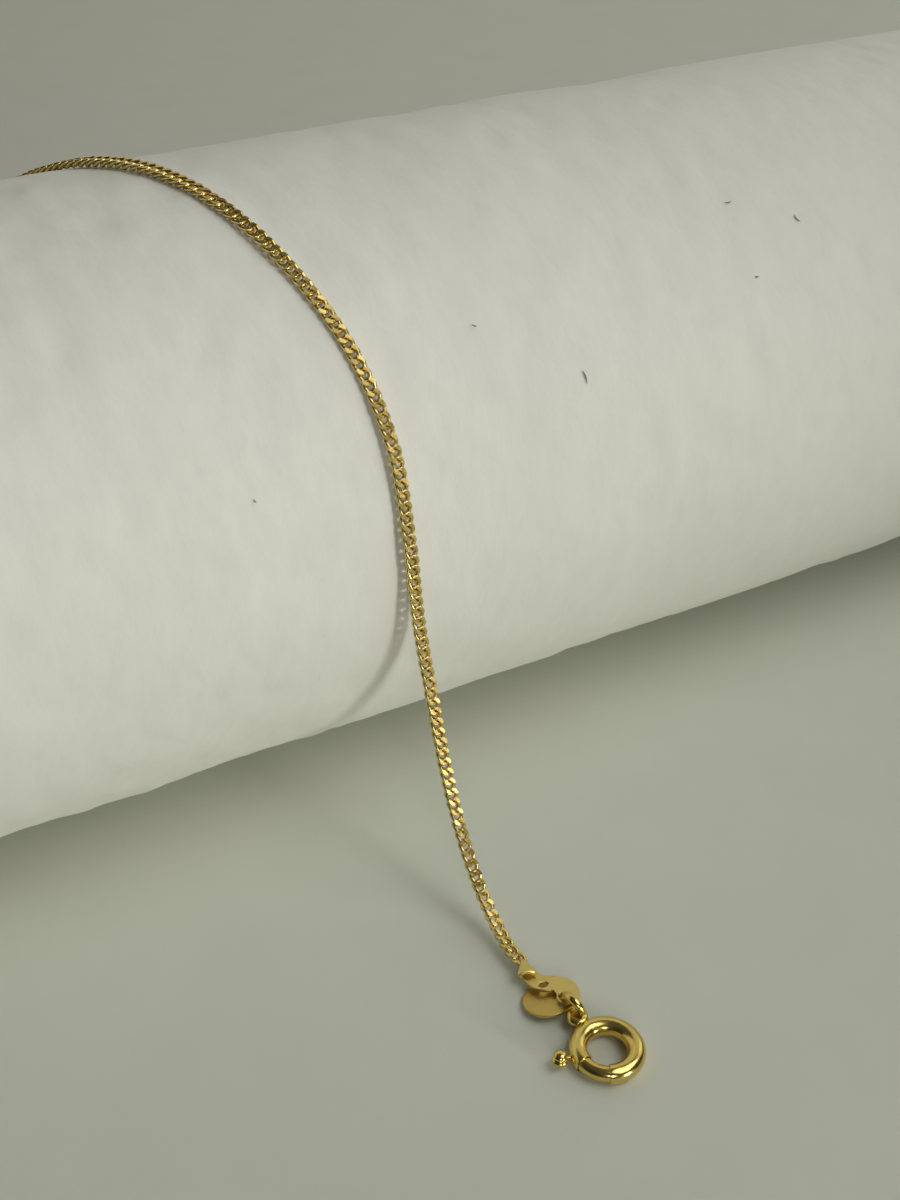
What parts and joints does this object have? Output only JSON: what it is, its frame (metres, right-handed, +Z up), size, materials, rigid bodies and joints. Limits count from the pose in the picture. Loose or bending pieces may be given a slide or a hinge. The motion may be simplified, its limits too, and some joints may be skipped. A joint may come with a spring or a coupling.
{
  "type": "curb link chain on a display roll",
  "caption": "Fine gold curb link necklace chain with a spring-ring clasp and small tags, laid unfastened over a plain white display roll.",
  "frame": {"origin": "middle of the narrow flat that the display roll rests on", "axes": "+X along the roll and its longest way, +Z up, and -Y from the roll towards the clasp in front of it"},
  "size_m": [0.3691, 0.1041, 0.0519],
  "materials": {
    "chain_gold": "yellow gold, diamond-cut facets polished bright, darker between the links",
    "clasp_gold": "yellow gold, polished, with fine handling scratches",
    "tag_gold": "yellow gold sheet, rolled and lightly polished",
    "white_foam": "off-white soft closed-cell foam, matte, with small dents"
  },
  "bodies": {
    "display": {"display_roll": "white_foam", "chain": "chain_gold", "end_tag": "tag_gold", "round_tag": "tag_gold", "jump_ring": "clasp_gold", "clasp_ring": "clasp_gold", "catch_ring": "clasp_gold"},
    "bolt": {"clasp_bolt": "clasp_gold"}
  },
  "joints": [
    {"name": "bolt_slide", "type": "hinge", "parent": "display", "child": "bolt", "pos_m": [-0.0267, -0.05401, 0.00073], "axis": [0, 0, -1], "range_deg": [0, 42], "stiffness_Nm_per_rad": 0.003, "springref_deg": -17.19}
  ]
}
